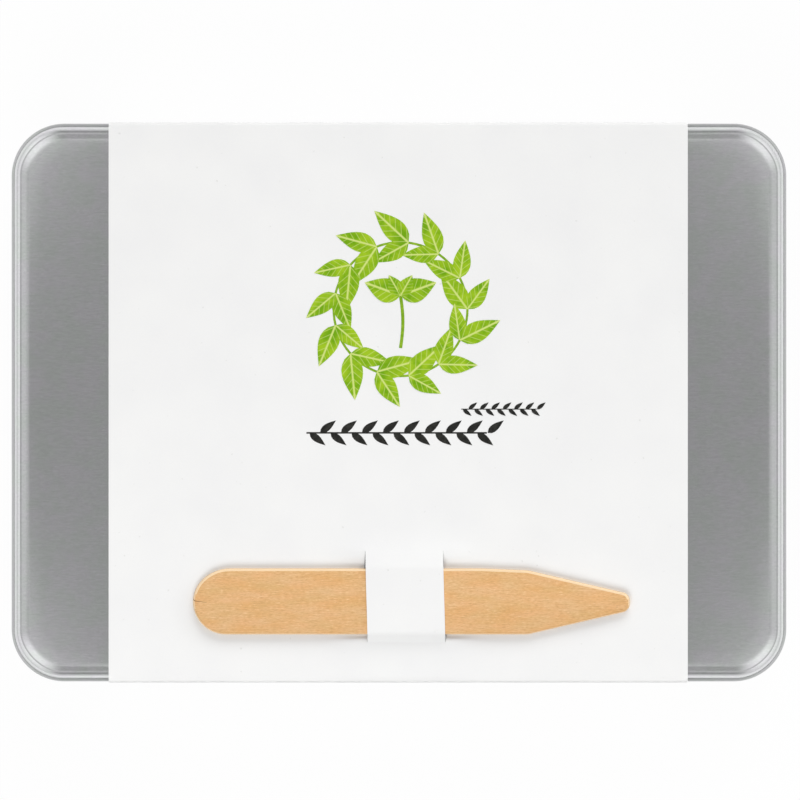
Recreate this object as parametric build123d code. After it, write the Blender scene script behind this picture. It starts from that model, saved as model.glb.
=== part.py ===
"""Garden seed organizer box: a slip-lid tin in a paper saddle sleeve, with a wooden plant
marker held under a strap of the sleeve, and seed packets, a card divider, spare markers and
a growing guide inside.

Frame: +X along the tin's length, +Y across it, +Z up. The origin is the middle of the plane
that the tin stands on. Lengths are in millimetres.
"""

from build123d import *
import math
import os

# ------------------------------------------------------------------ driving dimensions
# The closed tin, over the lid's rolled edge
TIN_LENGTH = 200.0
TIN_WIDTH = 144.0
TIN_HEIGHT = 36.0
CORNER_RADIUS = 13.6
SHEET = 0.3

# Lid: a skirt with a rolled edge, a sloping shoulder, a narrow ledge and a raised panel
LID_DEPTH = 13.0
LID_CURL = 1.4
SHOULDER_RADIUS = 2.0
SHOULDER_SLOPE = 20.0
SHOULDER_FLAT = 0.2
LEDGE_WIDTH = 0.4
LEDGE_RADIUS = 0.1
PANEL_RISE = 0.5
RAMP_RUN = 1.55
RAMP_RADIUS = 4.2

# Base: a tray with an inward rolled rim, a standing ring and a raised floor
SLIP_GAP = 0.35
RIM_GAP = 0.2
BASE_CURL = 1.4
BASE_RADIUS = 2.0
FOOT_WIDTH = 2.5
FLOOR_SLOPE = 0.8
FLOOR_RISE = 0.8
FLOOR_BEND = 0.3

# How far round each rolled edge turns, in degrees
CURL_TURN = 280.0

# Paper sleeve: flat over the lid, creased along the tin's long edges, open underneath
PAPER = 0.3
SLEEVE_LENGTH = 148.9
SLEEVE_OFFSET = -0.2
SLEEVE_LIFT = 0.1
SLEEVE_SIDE_GAP = 0.15
CREASE_RADIUS = 0.5
FLAP_CLEARANCE = 1.0

# Strap between two slits of the sleeve, bowed up over the marker
STRAP_CENTRE = 1.8
STRAP_WIDTH = 20.0
STRAP_RUN_BACK = 4.5
STRAP_RUN_FRONT = 2.3
STRAP_GAP = 0.15
STRAP_BEND = 0.6
SLIT = 0.2

# Wooden marker: one round end, one blunt point
MARKER_WIDTH = 17.0
MARKER_THICKNESS = 1.6
MARKER_END_GAP = 12.7
POINT_LENGTH = 26.2
NOSE_WIDTH = 4.8
NOSE_RADIUS = 1.3
HIP_RADIUS = 6.0
ARRIS = 0.2
MARKER_CENTRE = 3.2
MARKER_FROM_FRONT = 20.9
MARKER_LIFT = 0.05
SPARE_MARKERS = 11

# Label in the recess under the base
LABEL_MARGIN = 2.5
LABEL_PAPER = 0.2

# Card divider: a floor with two pleats folded up between the packets and the markers
CARD = 0.4
FOLD_RADIUS = 0.35
CARD_FLOOR_GAP = 1.0
CONTENT_GAP = 0.6
DIVIDER_RISE = 1.6
THUMB_RADIUS = 13.0
THUMB_DEPTH = 9.0

# Seed packets: sealed paper pillows, stacked flat in two columns
PACKETS_PER_STACK = 6
PACKET_PAPER = 0.2
PACKET_END_GAP = 4.6
SEAM_WIDTH = 4.0
PILLOW_RUN = 14.0
SEED_MARGIN = 3.0
SEED_HEADROOM = 1.0
SEED_TAPER = 30.0

# Growing guide: a folded card cover round a block of pages
GUIDE_THICKNESS = 2.0
GUIDE_COVER = 0.3
GUIDE_MARGIN = 3.0
GUIDE_PAGE_MARGIN = 1.0

# Free height between the guide and the lid
HEADROOM = 8.2

# Paper band round the spare markers
BAND_PAPER = 0.2
BAND_WIDTH = 22.0

# ------------------------------------------------------------------ sizes that follow
half_sheet = SHEET / 2

# Insets are measured inwards from the lid's outer edge
base_inset = LID_CURL + SLIP_GAP
inner_inset = base_inset + SHEET
mouth_inset = base_inset + BASE_CURL
mouth_length = TIN_LENGTH - 2 * mouth_inset
mouth_width = TIN_WIDTH - 2 * mouth_inset

# The lid's shoulder, from the skirt's corner up its slope to the ledge
shoulder_slope = math.radians(SHOULDER_SLOPE)
shoulder_reach = SHOULDER_RADIUS * math.tan((math.pi / 2 - shoulder_slope) / 2) + SHOULDER_FLAT
ledge_inset = LID_CURL - SHEET + shoulder_reach * math.cos(shoulder_slope)
shoulder_rise = shoulder_reach * math.sin(shoulder_slope)

# Heights of the metal
panel_underside = TIN_HEIGHT - SHEET
ledge_top = TIN_HEIGHT - PANEL_RISE
shoulder_top = ledge_top - shoulder_rise
rim_top = shoulder_top - SHEET - RIM_GAP
floor_top = FLOOR_RISE + SHEET
content_floor = floor_top + CARD

# The flat part of the base's floor
floor_inset = base_inset + BASE_RADIUS + FOOT_WIDTH + FLOOR_SLOPE + FLOOR_BEND

# Sleeve
sleeve_underside = TIN_HEIGHT + SLEEVE_LIFT
sleeve_top = sleeve_underside + PAPER
sleeve_width = TIN_WIDTH + 2 * (SLEEVE_SIDE_GAP + PAPER)

# Marker and the strap that holds it
marker_length = mouth_width - 2 * MARKER_END_GAP
marker_y = -TIN_WIDTH / 2 + MARKER_FROM_FRONT
marker_z = sleeve_top + MARKER_LIFT
slit_back = MARKER_WIDTH / 2 + STRAP_RUN_BACK
slit_front = MARKER_WIDTH / 2 + STRAP_RUN_FRONT
strap_underside = marker_z + MARKER_THICKNESS + STRAP_GAP

# Columns inside the tin, from left to right: packets, pleat, packets, pleat, markers,
# with a gap on each side of every one
COLUMN_GAPS = 6
pleat = 2 * CARD
bundle_width = MARKER_WIDTH + 2 * BAND_PAPER
packet_width = (mouth_length - 2 * pleat - bundle_width - COLUMN_GAPS * CONTENT_GAP) / 2
packet_length = mouth_width - 2 * PACKET_END_GAP
left_stack = -mouth_length / 2 + CONTENT_GAP + packet_width / 2
left_pleat = left_stack + packet_width / 2 + CONTENT_GAP + pleat / 2
right_stack = left_pleat + pleat / 2 + CONTENT_GAP + packet_width / 2
right_pleat = right_stack + packet_width / 2 + CONTENT_GAP + pleat / 2
bundle_x = right_pleat + pleat / 2 + CONTENT_GAP + bundle_width / 2

# The packets fill the height that the guide and the headroom leave
stack_height = panel_underside - HEADROOM - GUIDE_THICKNESS - content_floor
packet_thickness = stack_height / PACKETS_PER_STACK
stack_top = content_floor + stack_height


# ------------------------------------------------------------------ helpers
def outline(inset):
    """The tin's rounded-rectangle outline, drawn in from the lid's outer edge."""
    return RectangleRounded(
        TIN_LENGTH - 2 * inset, TIN_WIDTH - 2 * inset, CORNER_RADIUS - inset
    )


def plate(inset, bottom, thickness):
    """A flat plate with the tin's outline."""
    return Pos(0, 0, bottom) * extrude(outline(inset), thickness)


def section_point(inset, height):
    """A point of a pressing's section, which is drawn at the tin's right-hand end."""
    return (TIN_LENGTH / 2 - inset, height)


def outline_path():
    """The lid's outer edge as one closed line that starts where the sections are drawn."""
    half_x = TIN_LENGTH / 2
    half_y = TIN_WIDTH / 2
    corners = [(half_x, half_y), (-half_x, half_y), (-half_x, -half_y), (half_x, -half_y)]
    start = (half_x, 0)
    loop = Wire([*Polyline(start, *corners, start).edges()])
    sharp = [v for v in loop.vertices() if abs(v.Y) > half_y / 2]
    return loop.fillet_2d(CORNER_RADIUS, sharp)


def pressing(curl, walls):
    """Sheet metal whose middle line is carried round the tin's outline."""
    middle = Plane.XZ * (curl + walls)
    section = Wire(middle.edges()).offset_2d(half_sheet, kind=Kind.ARC, side=Side.BOTH)
    return sweep(Face(section), path=outline_path())


def pillow(width, length, half_height, edge_half_height):
    """A cushion shape: thin at its edge, flat on top and underneath."""
    edge = Rectangle(width, length)
    flat = Rectangle(width - 2 * PILLOW_RUN, length - 2 * PILLOW_RUN)
    upper = loft([Pos(0, 0, edge_half_height) * edge, Pos(0, 0, half_height) * flat])
    return upper + mirror(upper, Plane.XY)


# ------------------------------------------------------------------ tin
def tin_lid():
    skirt = LID_CURL - half_sheet
    ramp = ledge_inset + LEDGE_WIDTH
    panel = ramp + RAMP_RUN
    run_in = panel + RAMP_RADIUS
    curl_radius = (LID_CURL - SHEET) / 2
    curl_height = TIN_HEIGHT - LID_DEPTH + LID_CURL / 2
    walls = FilletPolyline(
        section_point(skirt, curl_height),
        section_point(skirt, shoulder_top - half_sheet),
        section_point(ledge_inset, ledge_top - half_sheet),
        section_point(ramp, ledge_top - half_sheet),
        section_point(panel, TIN_HEIGHT - half_sheet),
        section_point(run_in, TIN_HEIGHT - half_sheet),
        radius=[
            SHOULDER_RADIUS - half_sheet,
            LEDGE_RADIUS + half_sheet,
            LEDGE_RADIUS + half_sheet,
            RAMP_RADIUS - half_sheet,
        ],
    )
    curl = JernArc(section_point(skirt, curl_height), (0, -1), curl_radius, CURL_TURN)
    flat = plate(run_in - SHEET, panel_underside, SHEET)
    return pressing(curl, walls) + flat


def tin_base():
    wall = base_inset + half_sheet
    foot = base_inset + BASE_RADIUS + FOOT_WIDTH
    slope = foot + FLOOR_SLOPE
    run_in = floor_inset + SHEET
    curl_radius = (BASE_CURL - SHEET) / 2
    curl_height = rim_top - BASE_CURL / 2
    bend = FLOOR_BEND + half_sheet
    walls = FilletPolyline(
        section_point(wall, curl_height),
        section_point(wall, half_sheet),
        section_point(foot, half_sheet),
        section_point(slope, FLOOR_RISE + half_sheet),
        section_point(run_in, FLOOR_RISE + half_sheet),
        radius=[BASE_RADIUS - half_sheet, bend, bend],
    )
    curl = JernArc(section_point(wall, curl_height), (0, 1), curl_radius, CURL_TURN)
    flat = plate(run_in - SHEET, FLOOR_RISE, SHEET)
    return pressing(curl, walls) + flat


# ------------------------------------------------------------------ paper sleeve
def creased_block(length, width, height, crease):
    """A block that hangs from its top face, with its two long upper edges rounded."""
    hang = (Align.CENTER, Align.CENTER, Align.MAX)
    block = Box(length, width, height, align=hang)
    edges = block.edges().filter_by(Axis.X).group_by(Axis.Z)[-1]
    return fillet(edges, crease)


def paper_sleeve():
    height = sleeve_top - FLAP_CLEARANCE
    outside = creased_block(SLEEVE_LENGTH, sleeve_width, height, CREASE_RADIUS)
    inside = creased_block(
        2 * SLEEVE_LENGTH, sleeve_width - 2 * PAPER, 2 * height, CREASE_RADIUS - PAPER
    )
    wrap = Pos(SLEEVE_OFFSET, 0, sleeve_top) * (outside - Pos(0, 0, -PAPER) * inside)
    hole_y = marker_y + (slit_back - slit_front) / 2
    hole = Pos(STRAP_CENTRE, hole_y, sleeve_top) * Box(
        STRAP_WIDTH + 2 * SLIT, slit_back + slit_front, 4 * PAPER
    )
    return wrap - hole + strap()


def strap():
    """The strip between the slits, up one side of the marker, over it and down again."""
    low = sleeve_underside + PAPER / 2
    high = strap_underside + PAPER / 2
    crest = MARKER_WIDTH / 2 + 2 * STRAP_GAP
    anchor = 2 * PAPER
    middle = FilletPolyline(
        (-slit_front - anchor, low),
        (-slit_front, low),
        (-crest, high),
        (crest, high),
        (slit_back, low),
        (slit_back + anchor, low),
        radius=[PAPER, STRAP_BEND, STRAP_BEND, PAPER],
    )
    section = Wire(middle.edges()).offset_2d(PAPER / 2, kind=Kind.ARC, side=Side.BOTH)
    strip = extrude(Plane.YZ * Face(section), STRAP_WIDTH / 2, both=True)
    return Pos(STRAP_CENTRE, marker_y, 0) * strip


# ------------------------------------------------------------------ wooden markers
def marker():
    """A marker lying along X with its point to the right, centred, its underside at zero."""
    half = MARKER_WIDTH / 2
    tip = marker_length / 2
    hip = tip - POINT_LENGTH
    tail = half - tip
    blade = make_face(
        Polyline(
            (tail, -half),
            (hip, -half),
            (tip, -NOSE_WIDTH / 2),
            (tip, NOSE_WIDTH / 2),
            (hip, half),
            (tail, half),
            close=True,
        )
    )
    hips = blade.vertices().filter_by(lambda v: abs(v.X - hip) < ARRIS)
    blade = fillet(hips, HIP_RADIUS)
    nose = blade.vertices().filter_by(lambda v: abs(v.X - tip) < ARRIS)
    blade = fillet(nose, NOSE_RADIUS)
    blade += Pos(tail, 0) * Circle(half)
    body = extrude(blade, MARKER_THICKNESS)
    faces = body.faces().filter_by(Axis.Z)
    return chamfer(faces.edges(), ARRIS)


def plant_marker(shape):
    return Pos(MARKER_CENTRE, marker_y, marker_z) * shape


def spare_marker(shape, number):
    bottom = content_floor + BAND_PAPER + number * MARKER_THICKNESS
    return Pos(bundle_x, 0, bottom) * Rot(0, 0, 90) * shape


def marker_band():
    height = SPARE_MARKERS * MARKER_THICKNESS
    outside = Box(bundle_width, BAND_WIDTH, height + 2 * BAND_PAPER)
    inside = Box(MARKER_WIDTH, 2 * BAND_WIDTH, height)
    return Pos(bundle_x, 0, content_floor + BAND_PAPER + height / 2) * (outside - inside)


# ------------------------------------------------------------------ paper and card
def back_label():
    width = TIN_WIDTH - 2 * (floor_inset + LABEL_MARGIN)
    sheet = extrude(Rectangle(SLEEVE_LENGTH, width), LABEL_PAPER)
    return Pos(SLEEVE_OFFSET, 0, FLOOR_RISE - LABEL_PAPER) * sheet


def card_insert():
    insert = plate(inner_inset + CARD_FLOOR_GAP, floor_top, CARD)
    top = stack_top + DIVIDER_RISE
    height = top - floor_top
    for x in (left_pleat, right_pleat):
        wall = Box(pleat, mouth_width - 2 * CONTENT_GAP, height)
        fold = wall.edges().filter_by(Axis.Y).group_by(Axis.Z)[-1]
        wall = fillet(fold, FOLD_RADIUS)
        centre = height / 2 + THUMB_RADIUS - THUMB_DEPTH
        thumb = Pos(0, 0, centre) * Rot(0, 90, 0) * Cylinder(THUMB_RADIUS, 2 * pleat)
        insert += Pos(x, 0, floor_top + height / 2) * (wall - thumb)
    return insert


def seed_packet():
    """A sealed packet, centred on its own middle plane, hollow between its seams."""
    seam = Box(packet_width, packet_length, 2 * PACKET_PAPER)
    width = packet_width - 2 * SEAM_WIDTH
    length = packet_length - 2 * SEAM_WIDTH
    outside = seam + pillow(width, length, packet_thickness / 2, PACKET_PAPER)
    inside = pillow(width, length, packet_thickness / 2 - PACKET_PAPER, 0)
    return outside - inside


def seed_fill():
    """The seeds of one packet, settled on its lower face."""
    margin = SEAM_WIDTH + PILLOW_RUN + SEED_MARGIN
    bed = Rectangle(packet_width - 2 * margin, packet_length - 2 * margin)
    bed = fillet(bed.vertices(), SEED_MARGIN)
    bottom = PACKET_PAPER - packet_thickness / 2
    depth = packet_thickness - 2 * PACKET_PAPER - SEED_HEADROOM
    return Pos(0, 0, bottom) * extrude(bed, depth, taper=SEED_TAPER)


def packet_place(number):
    """Packets are numbered up the left stack, then up the right one."""
    x = (left_stack, right_stack)[number // PACKETS_PER_STACK]
    level = number % PACKETS_PER_STACK
    return Pos(x, 0, content_floor + (level + 0.5) * packet_thickness)


def guide_size():
    return packet_width - 2 * GUIDE_MARGIN, packet_length - 2 * GUIDE_MARGIN


def guide_cover():
    width, length = guide_size()
    outside = Box(width, length, GUIDE_THICKNESS)
    spine = outside.edges().filter_by(Axis.Y).group_by(Axis.X)[0]
    outside = fillet(spine, GUIDE_COVER)
    inside = Pos(GUIDE_COVER, 0, 0) * Box(width, 2 * length, GUIDE_THICKNESS - 2 * GUIDE_COVER)
    return Pos(left_stack, 0, stack_top + GUIDE_THICKNESS / 2) * (outside - inside)


def guide_pages():
    width, length = guide_size()
    width -= GUIDE_COVER + GUIDE_PAGE_MARGIN
    length -= 2 * GUIDE_PAGE_MARGIN
    block = Box(width, length, GUIDE_THICKNESS - 2 * GUIDE_COVER)
    x = left_stack + (GUIDE_COVER - GUIDE_PAGE_MARGIN) / 2
    return Pos(x, 0, stack_top + GUIDE_THICKNESS / 2) * block


# ------------------------------------------------------------------ assembly
def all_nodes():
    shape = marker()
    packet = seed_packet()
    fill = seed_fill()
    nodes = {
        "tin_base": tin_base(),
        "tin_lid": tin_lid(),
        "paper_sleeve": paper_sleeve(),
        "plant_marker": plant_marker(shape),
        "back_label": back_label(),
        "card_insert": card_insert(),
        "growing_guide_cover": guide_cover(),
        "growing_guide_pages": guide_pages(),
        "marker_band": marker_band(),
    }
    for number in range(SPARE_MARKERS):
        nodes[f"spare_marker_{number + 1:02d}"] = spare_marker(shape, number)
    for number in range(2 * PACKETS_PER_STACK):
        place = packet_place(number)
        nodes[f"seed_packet_{number + 1:02d}"] = place * packet
        nodes[f"seed_fill_{number + 1:02d}"] = place * fill
    return nodes


os.makedirs("parts", exist_ok=True)
for name, solid in all_nodes().items():
    export_step(solid, f"parts/{name}.step")
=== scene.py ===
"""Looks of the garden seed organizer box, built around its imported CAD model.

Lengths are in metres, in the CAD model's frame: +X along the tin, +Y across it, +Z up, with
the origin below the middle of the closed tin.
"""

import math
from functools import partialmethod

import bmesh
import bpy
from mathutils import Matrix, Vector, noise

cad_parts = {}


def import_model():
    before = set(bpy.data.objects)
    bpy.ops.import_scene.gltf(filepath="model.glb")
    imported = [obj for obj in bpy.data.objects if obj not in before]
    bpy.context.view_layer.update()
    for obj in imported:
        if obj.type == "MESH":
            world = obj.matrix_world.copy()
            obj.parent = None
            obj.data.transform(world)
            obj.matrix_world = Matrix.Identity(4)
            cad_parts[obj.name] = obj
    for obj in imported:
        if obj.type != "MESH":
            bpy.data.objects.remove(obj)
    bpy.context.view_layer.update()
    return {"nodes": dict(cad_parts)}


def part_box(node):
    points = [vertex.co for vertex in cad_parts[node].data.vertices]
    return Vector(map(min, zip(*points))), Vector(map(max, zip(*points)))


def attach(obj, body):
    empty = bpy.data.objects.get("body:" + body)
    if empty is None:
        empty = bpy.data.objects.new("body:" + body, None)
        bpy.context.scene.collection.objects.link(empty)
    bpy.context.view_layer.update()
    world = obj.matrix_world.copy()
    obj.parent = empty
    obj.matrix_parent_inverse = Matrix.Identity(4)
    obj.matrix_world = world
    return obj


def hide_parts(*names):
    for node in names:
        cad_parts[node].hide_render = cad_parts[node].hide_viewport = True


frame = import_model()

scene = bpy.context.scene

# ---- sizes of the tin
LID_LOW, LID_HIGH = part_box("tin_lid")
BASE_LOW, BASE_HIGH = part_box("tin_base")
CORNER_RADIUS = 0.0136
SHEET = 0.0003
HALF_SHEET = SHEET / 2
CURL_TURN = math.radians(300)

# The lid's press line, from its rolled edge up and in to its flat panel
LID_CURL = 0.0014
SHOULDER_RADIUS = 0.0020
SHOULDER_SLOPE = math.radians(20)
SHOULDER_FLAT = 0.0002
LEDGE_WIDTH = 0.00028
LEDGE_RADIUS = 0.0001
FOOT_RADIUS = 0.0013
PANEL_RISE = 0.0005
RAMP_RUN = 0.00167
RAMP_RADIUS = 0.0042

# The base, from its rolled rim down and in to its floor
SLIP_GAP = 0.00035
BASE_CURL = 0.0014
BASE_RADIUS = 0.0020
RING_WIDTH = 0.0025
FLOOR_SLOPE = 0.0008
FLOOR_RISE = 0.0008
FLOOR_BEND = 0.0003

# How finely bends and the tin's sides are divided
BEND_STEP = math.radians(7)
CORNER_STEPS = 28
SIDE_STEPS = 36

# How the metal strays: its sides wave, and it is drawn further in at the corners
TIN_WAVE = 0.00003
TIN_WAVE_RATE = 60
CORNER_SLACK = 0.10

# ---- sizes of the sleeve
SLEEVE_LOW, SLEEVE_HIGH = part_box("paper_sleeve")
MARKER_LOW, MARKER_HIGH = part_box("plant_marker")
MARKER_Y = (MARKER_LOW.y + MARKER_HIGH.y) / 2
PAPER = 0.00025
SLEEVE_TOP = 0.0364
FLAT_SLACK = 0.000001
CREASE_RADIUS = 0.00045
CREASE_INSET = 0.0005
CREASE_REACH = 0.0020
CURL_CLEARANCE = 0.00005
FLAP_LEAN = 0.0006
FLAP_BEND = 0.02

# The strap, and the two slits that cut it free in front of the marker and behind it
STRAP_LEFT = -0.0084
STRAP_RIGHT = 0.0117
FRONT_RUN = 0.0021
BACK_RUN = 0.0046
SLIT_FRONT = MARKER_LOW.y - FRONT_RUN
SLIT_BACK = MARKER_HIGH.y + BACK_RUN
STRAP_CLEARANCE = 0.00015
STRAP_BEND = 0.0035
SLIT_GAP = 0.00006
SLIT_OPEN = 0.00028

# The slits lean by SLIT_SLANT. The paper beyond and beside them follows, ever less.
SLIT_SLANT = 0.033
SLANT_REACH = 0.04
SLANT_BLEND = 0.01

# How finely the sleeve is divided across the strap, elsewhere across it, and along it
STRAP_ROWS = 130
FLAT_ROW = 0.0012
COLUMN = 0.0016

# How high the strap lifts the paper at the slits' ends, and how far that reaches beyond them,
# to the sides, and towards the marker, as a share of the strap's run there
FRONT_LIFT = 0.0006
BACK_LIFT = 0.0008
LIFT_BEYOND = 0.0026
LIFT_BESIDE = 0.0065
LIFT_UNDER = 0.68

# ---- sizes of the markers
SPARE_MARKERS = 11
GRAIN_STEP = 0.37
ARRIS = 0.00070
ARRIS_STEPS = 4
POINT_LENGTH = 0.0262
NOSE_WIDTH = 0.0048
NOSE_RADIUS = 0.0023
HIP_RADIUS = 0.0060

# How a marker strays from an even shape: a longer tail, and a point cut askew on one side
TAIL_STRETCH = 1.15
NOSE_SLACK = 0.0005
SLACK_RUN = 0.0120
SLACK_RADIUS = 0.05

# By its normal's height, a face is upright up to WALL_FACE and level from FLAT_FACE. Between
# them it is paler, as sanded wood, but past HIGHLIGHT_HEIGHT only as far as it turns towards
# +Y, by HIGHLIGHT_TURN, so that on its flatter faces the paler wood is painted highlight.
WALL_FACE = 0.30
FLAT_FACE = 0.985
HIGHLIGHT_TURN = 3.33
HIGHLIGHT_HEIGHT = 0.90

# The round end's crack: its start and end along the marker, its place across it at its start,
# its drop from there, and its half width
CRACK_SPAN = (-0.0562, -0.0526)
CRACK_LEVEL = 0.0018
CRACK_DROP = 0.0005
CRACK_GAPE = 0.00011

# ---- camera and light
CAMERA_SIDE = 0.00026
CAMERA_UP = 0.00065
CAMERA_RISE = 3.0
LENS = 525.1
DISC_SIDES = 64
FLOOR_RADIUS = 4.0
FLOOR_GAP = 0.0001
FLOOR_SHADOW = 0.05
FLOOR_GLOSSY_SHADOW = 0.75
FLOOR_TONE = (0.4, 0.4, 0.4, 1)
AMBIENT = 0.37

# The soft lamps, as (azimuth, elevation, share of the light, distance, size). Azimuth 0 is
# along +X and 90 along +Y.
LAMPS = {
    "key_front": (-100, 44, 0.335, 0.9, (0.60, 0.45)),
    "key_back": (80, 28, 0.255, 2.0, (1.6, 0.9)),
    "key_low": (33, 15, 0.065, 2.0, (1.4, 0.5)),
}

# The reflector that metal sees overhead. Its glow, as (x * x * y, brightness), is brighter
# towards its four corners.
CEILING_HEIGHT = 0.22
CEILING_RADIUS = 0.15
CEILING_FADE = 0.125
CEILING_GLOW = (
    (0, 0.325), (0.00028, 0.34), (0.00040, 0.35), (0.00050, 0.36), (0.00061, 0.40), (0.00072, 0.56),
    (0.00084, 0.80), (0.001, 0.85),
)

# The sky that metal sees past it, as (degrees from straight up, brightness)
SKY_ALONG = ((0, 0.38), (18, 0.44), (34, 0.57), (42, 0.92), (60, 0.94), (78, 0.7), (180, 0.6))
SKY_ACROSS = (
    (0, 0.36), (10, 0.38), (16, 0.46), (24, 0.58), (29, 0.40), (33, 0.26), (48, 0.24), (60, 0.42),
    (74, 0.7), (100, 0.9), (180, 0.7),
)
SKY_CORNERS = ((0, 0.58), (12, 0.66), (20, 0.82), (32, 1.20), (60, 0.98), (90, 0.7), (180, 0.6))
LEAST_LEVEL = 0.0001

# ---- sizes of the print
INK = 0.00001
INK_STEP = 0.000002
STROKE_UV = (0.03, 0.5)
LEAF_FULLNESS = 0.72
LEAF_STEPS = 9
PRINT_CENTRE = Vector((0.0004, 0.0240))

# The ring of leaves. A leaf here is (length, width), and these vary by WREATH_VARIETY.
WREATH_RADIUS = 0.0172
WREATH_STEM = 0.0006
WREATH_STEPS = 40
WREATH_LEAVES = 13
WREATH_LEAF = (0.0108, 0.0050)
WREATH_SPLAY = math.radians(36)
WREATH_VARIETY = 0.12
WREATH_SHUFFLE = 5

# The seedling in it, with pairs of leaves as (angle above level, size)
SEEDLING_STEM = 0.0135
SEEDLING_STEM_WIDTH = 0.00084
SEEDLING_STEPS = 12
SEEDLING_DROP = 0.0100
SEEDLING_BOW = 0.0006
SEED_LEAF = (0.0098, 0.0062)
SEED_LEAF_STEPS = 14
SEEDLING_PAIRS = ((0.35, 1.0), (1.05, 0.62))

# The two rules, as (left, right, height, leaf). The leaves' width, pitch and first step, the
# stem's free end and its width are shares of a leaf or a step.
RULE_WIDE = (-0.0238, 0.0247, -0.0078, 0.0052)
RULE_SHORT = (0.0160, 0.0365, -0.0017, 0.0028)
VINE_SPLAY = math.radians(38)
VINE_SLIM = 0.36
VINE_PITCH = 0.52
VINE_START = 0.3
VINE_FREE = 0.4
VINE_STEM = 0.22
VINE_LEAF_STEPS = 7

# A sprig: where its leaves start, their spread and its top leaf, as shares of its height, then
# its leaves' angle and taper, and its stem as a share of a leaf's width
SPRIG_FOOT = 0.3
SPRIG_SPREAD = 0.6
SPRIG_TOP = 0.85
SPRIG_ANGLE = 0.7
SPRIG_TAPER = 0.12
SPRIG_STEM = 0.16

# ---- sizes of the contents
SEAM = 0.0040
SEAM_HALF = 0.00018
SWELL = 0.0140
PACKET_CLEARANCE = 0.00005
PACKET_GRID = 0.0028
PACKET_BAND = 0.0400
PACKET_LINE = 0.0016
PACKET_ART = -0.0080
CREASE_RATE = 90
CREASE_DEPTH = 0.0004
PAGE_PITCH = 0.0002

# The fine frames on the guide and the label, as (inset, line's width)
GUIDE_FRAME = (0.0050, 0.0007)
LABEL_FRAME = (0.0060, 0.0006)

# The packets' sprigs: the first colour's height and leaf, and what each next colour adds
PACKET_SPRIG = 0.030
PACKET_SPRIG_MORE = 0.002
PACKET_LEAF = 0.011
PACKET_LEAF_MORE = 0.0004
PACKET_LEAF_WIDTH = 0.0052
FEWEST_PAIRS = 2
PAIR_COUNTS = 3

# The guide's sprig, as (height, pairs of leaves, leaf)
GUIDE_SPRIG = (0.042, 3, (0.015, 0.0075))


# ---- colour and node helpers
def colour(*parts):
    """A screen colour, each part from 0 to 255, as the linear colour that shaders take."""
    shares = [part / 255 for part in parts]
    linear = [s / 12.92 if s <= 0.04045 else ((s + 0.055) / 1.055) ** 2.4 for s in shares]
    return (*linear, 1.0)


WHITE = (1, 1, 1, 1)


class Graph:
    """A node tree, with short calls for the nodes used here.

    A pattern is (scale, or one for each axis, detail, roughness). A span is (low, high) or
    (low, high, result at low, result at high). Tones are (span, colour, colour).
    """

    def __init__(self, tree):
        self.tree = tree
        self.nodes = tree.nodes

    def feed(self, socket, value):
        """Gives a socket a plain value or another node's output."""
        if isinstance(value, bpy.types.NodeSocket):
            self.tree.links.new(value, socket)
        else:
            socket.default_value = value

    def feed_all(self, sockets, values):
        """Feeds sockets by their names or places."""
        for key, value in values.items():
            self.feed(sockets[key], value)

    def node(self, kind, *inputs, more=(), **settings):
        """A new node. more holds inputs by their names or places."""
        made = self.nodes.new(kind)
        for name, value in settings.items():
            setattr(made, name, value)
        self.feed_all(made.inputs, dict(enumerate(inputs)) | dict(more))
        return made

    def first(self, kind, *inputs, **settings):
        """The first output of a new node."""
        return self.node(kind, *inputs, **settings).outputs[0]

    def place(self, kind="Object"):
        """Texture coordinates."""
        return self.node("ShaderNodeTexCoord").outputs[kind]

    def axes(self, kind="Object"):
        """The three parts of texture coordinates."""
        return self.node("ShaderNodeSeparateXYZ", self.place(kind)).outputs

    def noise(self, scale, detail, roughness, kind="Object"):
        """A pattern of noise in texture coordinates."""
        stretch = scale if isinstance(scale, tuple) else (scale,) * 3
        place = self.first("ShaderNodeVectorMath", self.place(kind), stretch, operation="MULTIPLY")
        looks = {"Scale": 1.0, "Detail": detail, "Roughness": roughness}
        return self.first("ShaderNodeTexNoise", place, more=looks)

    def math(self, operation, *inputs):
        return self.first("ShaderNodeMath", *inputs, operation=operation)

    plus = partialmethod(math, "ADD")
    minus = partialmethod(math, "SUBTRACT")
    times = partialmethod(math, "MULTIPLY")
    most = partialmethod(math, "MAXIMUM")

    def remap(self, value, low, high, to_low=0.0, to_high=1.0):
        return self.first("ShaderNodeMapRange", value, low, high, to_low, to_high)

    def mix(self, share, first, second):
        """A colour between two others."""
        ends = {6: first, 7: second}
        return self.node("ShaderNodeMix", share, more=ends, data_type="RGBA").outputs[2]

    def blend(self, value, span, first, second):
        """A colour that goes from the first to the second as a value crosses a span."""
        return self.mix(self.remap(value, *span), first, second)

    def curve(self, value, stops):
        """A value carried through a chain of straight steps, given as (place, result)."""
        span = stops[-1][0]
        ramp = self.node("ShaderNodeValToRGB", self.math("DIVIDE", value, span))
        elements = ramp.color_ramp.elements
        for _ in stops[2:]:
            elements.new(1.0)
        for element, (place, result) in zip(elements, stops):
            element.position = place / span
            element.color = (result, result, result, 1)
        return ramp.outputs["Color"]


class Material(Graph):
    """A node material around one Principled shader."""

    def __init__(self, name, roughness=0.6, metallic=0.0, specular=0.25):
        self.material = bpy.data.materials.new(name)
        self.material.use_nodes = True
        super().__init__(self.material.node_tree)
        self.inputs = self.nodes["Principled BSDF"].inputs
        looks = {"Roughness": roughness, "Metallic": metallic, "Specular IOR Level": specular}
        self.feed_all(self.inputs, looks)

    def paint(self, source):
        self.feed(self.inputs["Base Color"], source)

    def bump(self, height, distance):
        looks = {"Distance": distance, "Height": height}
        self.feed(self.inputs["Normal"], self.first("ShaderNodeBump", more=looks))


# ---- mesh helpers
SHARP = 40
SHEET_SHARP = 60
TIN_SHARP = 50


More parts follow.
